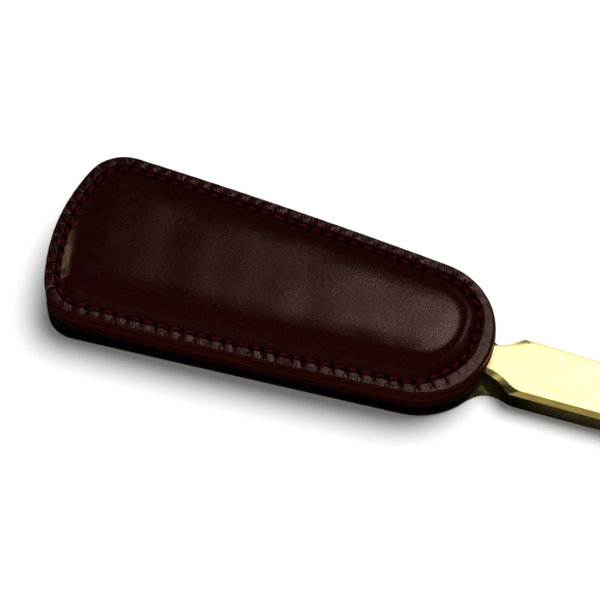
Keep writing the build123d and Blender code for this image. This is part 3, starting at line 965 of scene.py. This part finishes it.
# ---------------------------------------------------------------- floor
def floor_material():
    """White table. Glossy rays see it painted dark, darkest for x below 57 mm, with a painted
    bright, warm patch behind (+Y of) the neck: painted reflections for the metal's sides and
    bevels.
    """
    m = Mat("floor_white")
    m.set("Roughness", 0.95)
    m.set("Specular IOR Level", 0.0)
    glossy = m.node("LightPath").outputs["Is Glossy Ray"]
    dust = m.noise(scale=14, detail=3, rough=0.5)
    white = m.ramp(dust, [(0.3, (0.90, 0.90, 0.905)), (0.7, (0.93, 0.93, 0.93))])
    x, y, _ = m.xyz(m.position)
    # painted bright reflection: a warm patch behind (+Y of) the neck, seen only in reflections
    gap = m.math("SUBTRACT", y, m.remap(x, over=(0.038, 0.050), to=(0.021, 0.008)))
    painted_bright_patch = m.mul(m.fade(gap, over=(0.001, 0.006)),
                  m.fade(gap, over=(0.024, 0.044), to=(1.0, 0.0)))
    painted_bright_patch = m.mul(painted_bright_patch, m.fade(x, over=(0.038, 0.047)))
    # painted dark reflection elsewhere, darkest for x below 57 mm by the neck's cove
    dark = m.mix(m.fade(x, over=(0.057, 0.070)), a=(0.003, 0.0035, 0.002), b=(0.072, 0.070, 0.056))
    reflected = m.mix(painted_bright_patch, dark, b=(0.95, 0.92, 0.80))
    m.set("Base Color", m.mix(glossy, white, reflected))
    # clear from below, so that the underside can be looked at
    see_through = m.node("MixShader", {
        0: m.node("NewGeometry").outputs["Backfacing"],
        1: m.shader.outputs[0],
        2: m.node("BsdfTransparent").outputs[0]})
    m.put(m.output.inputs[0], see_through.outputs[0])
    return m.material


bpy.ops.mesh.primitive_plane_add(size=8, location=(0, 0, -0.0002))
floor = bpy.context.object
floor.name = "floor"
floor.data.materials.append(floor_material())

# ---------------------------------------------------------------- world
AMBIENT = 0.30                       # strength seen by matt surfaces; the camera sees 1
DIM, WINDOW_GLOW = 0.004, 0.018      # strengths in reflections
WINDOW_X, WINDOW_Y = -0.174, -0.985  # direction of the window band, towards the front


def build_world():
    """White to the camera; in reflections a dim studio with a window band in front."""
    world = bpy.data.worlds.new("studio")
    scene.world = world
    world.use_nodes = True
    w = Graph(world.node_tree)
    output = w.node("OutputWorld")
    background = w.node("Background", {"Color": (1.0, 0.99, 0.97)})
    w.put(output.inputs[0], background.outputs[0])
    x, y, z = w.xyz(w.node("TexCoord").outputs["Generated"])
    level = w.math("SUBTRACT", 1.0, w.mul(z, z))
    level = w.math("SQRT", w.math("MAXIMUM", level, 0.0001))
    towards = w.math("DIVIDE", w.add(w.mul(x, WINDOW_X), w.mul(y, WINDOW_Y)), level)
    front = w.fade(towards, over=(0.55, 0.92))
    window = w.mul(w.fade(z, over=(0.16, 0.30)), w.fade(z, over=(0.48, 0.62), to=(1.0, 0.0)))
    glow = w.add(w.mul(w.mul(window, front), WINDOW_GLOW), DIM)
    ray = w.node("LightPath").outputs
    in_glossy = w.mul(ray["Is Glossy Ray"], w.math("SUBTRACT", glow, AMBIENT))
    in_camera = w.add(w.mul(ray["Is Camera Ray"], 1.0 - AMBIENT), AMBIENT)
    w.put(background.inputs["Strength"], w.add(in_glossy, in_camera))


build_world()

# ---------------------------------------------------------------- lights
METAL = [nodes[name] for name in ("brass_bar", "horn_blade", "horn_rivets")]
RIVETS = [nodes["horn_rivets"]]
SOFT_PIECES = [face, backing, seam_thread]


def linked_collection(name, objects):
    made = bpy.data.collections.new(name)
    for member in objects:
        made.objects.link(member)
    return made


def only_on(light, objects, blockers=None):
    """The light reaches only these objects; given blockers, only they cast its shadow."""
    linking = light.light_linking
    linking.receiver_collection = linked_collection(light.name + "_on", objects)
    if blockers is not None:
        linking.blocker_collection = linked_collection(light.name + "_by", blockers)


def add_light(data):
    light = bpy.data.objects.new(data.name, data)
    scene.collection.objects.link(light)
    light.rotation_mode = "QUATERNION"
    return light


def area(name, location, target, size, radiance, color, on, blockers=None, diffuse=False):
    """Soft panel, lighting reflections only unless `diffuse`; size and places in metres."""
    data = bpy.data.lights.new(name, "AREA")
    data.shape = "RECTANGLE"
    data.size, data.size_y = size
    data.energy = radiance * math.pi * size[0] * size[1]
    data.color = color
    light = add_light(data)
    light.location = location
    light.rotation_quaternion = (light.location - Vector(target)).to_track_quat("Z", "Y")
    light.visible_camera = False
    light.visible_diffuse = diffuse
    only_on(light, on, blockers)
    return light


def panel(name, azimuth, elevation, distance, at, **look):
    """Panel placed as seen from `at` (mm); azimuth from +X and elevation in degrees."""
    turn, tilt = math.radians(azimuth), math.radians(elevation)
    centre = Vector(at) * MM
    direction = Vector((math.cos(turn) * math.cos(tilt), math.sin(turn) * math.cos(tilt),
                        math.sin(tilt)))
    return area(name, centre + distance * direction, centre, **look)


# softbox whose reflection lies over the brass and fades along the leather
area("softbox", (0.072, 0.225, 0.450), (0.02, 0.0, 0.01), size=(0.13, 0.22), radiance=4.9,
     color=(1.0, 0.985, 0.95), on=SOFT_PIECES)
# the same box as the metal sees it: wider and flatter
area("softbox_wide", (0.185, 0.225, 0.450), (0.02, 0.0, 0.01), size=(0.43, 0.30),
     radiance=2.75, color=(1.0, 0.985, 0.96), on=METAL)
# small warm lamp low on the butt's side
panel("lamp_warm", azimuth=163, elevation=-20, distance=0.06, at=(-46.5, -5, 12),
      size=(0.011, 0.0045), radiance=16.0, color=(1.0, 0.76, 0.44), on=[face], blockers=RIVETS)
# soft fill from the front, on matt surfaces only
fill = panel("fill", azimuth=-95, elevation=38, distance=0.8, at=(0, 0, 10),
             size=(0.7, 0.5), radiance=0.55, color=(1, 1, 1), on=SOFT_PIECES, diffuse=True)
fill.visible_glossy = False
# low window in front, on the leather's steep slopes only
panel("window", azimuth=-100, elevation=14, distance=0.9, at=(0, -12, 12),
      size=(0.9, 0.10), radiance=0.26, color=(1.0, 0.92, 0.80), on=[face, backing])

# reflectors round the metal: name, azimuth, elevation, distance, size, radiance, colour,
# point they face (mm), what casts their shadow (None: everything)
NEUTRAL = (1, 0.98, 0.92)
FAR_POINT = (150, 0, 5)
REFLECTORS = (
    ("card_front", -100, 27.5, 0.9, (0.40, 0.26), 0.46, (1.0, 0.93, 0.50), (90, 0, 5), None),
    ("card_right", 0, 30, 1.2, (0.6, 0.5), 0.60, NEUTRAL, FAR_POINT, None),
    ("card_top", 90, 89, 1.2, (1.5, 0.40), 0.9, NEUTRAL, FAR_POINT, None),
    ("card_far", 92, 22, 1.2, (1.4, 0.45), 0.40, NEUTRAL, FAR_POINT, None),
    ("card_left", 178, 34, 1.2, (0.6, 0.4), 0.60, NEUTRAL, FAR_POINT, None),
    ("card_below", 90, -58, 1.2, (1.3, 0.55), 0.55, NEUTRAL, FAR_POINT, RIVETS),
    ("glint_scoop", -161, 12.6, 0.6, (0.12, 0.09), 0.8, (1.0, 0.97, 0.50), (54, -6, 6), RIVETS),
    ("glint_lip", -152, -20, 0.6, (0.14, 0.12), 1.8, (1.0, 0.96, 0.55), (56, -7, 5), RIVETS),
    ("glint_shoulder", -137, 20, 0.6, (0.05, 0.05), 14.0, (1.0, 0.97, 0.65), (58, -7, 6), RIVETS),
)
for name, azimuth, elevation, distance, size, radiance, color, at, blockers in REFLECTORS:
    panel(name, azimuth, elevation, distance, at, size=size, radiance=radiance, color=color,
          on=METAL, blockers=blockers)

# key light that whitens the table
key_data = bpy.data.lights.new("key", "SUN")
key_data.energy = 3.2
key_data.angle = math.radians(40)
key = add_light(key_data)
key.rotation_quaternion = Vector((0.22, 0.40, 0.88)).to_track_quat("Z", "Y")
key.visible_glossy = False
only_on(key, [floor])

# ---------------------------------------------------------------- camera
CAM_TURN, CAM_TILT = math.radians(18.295), math.radians(60.911)  # from -Y, above the table
CAM_DISTANCE = 0.66667
CAM_TARGET = Vector((7.16, -2.17, 11.2)) * MM

camera_data = bpy.data.cameras.new("cam")
camera_data.sensor_width = 36
camera_data.lens = 180
camera_data.clip_start = 0.01
camera = bpy.data.objects.new("cam", camera_data)
scene.collection.objects.link(camera)
scene.camera = camera
to_camera = Vector((math.sin(CAM_TURN) * math.cos(CAM_TILT),
                    -math.cos(CAM_TURN) * math.cos(CAM_TILT), math.sin(CAM_TILT)))
camera.location = CAM_TARGET + to_camera * CAM_DISTANCE
camera.rotation_mode = "QUATERNION"
camera.rotation_quaternion = (-to_camera).to_track_quat("-Z", "Y")
scene.view_settings.view_transform = "Standard"
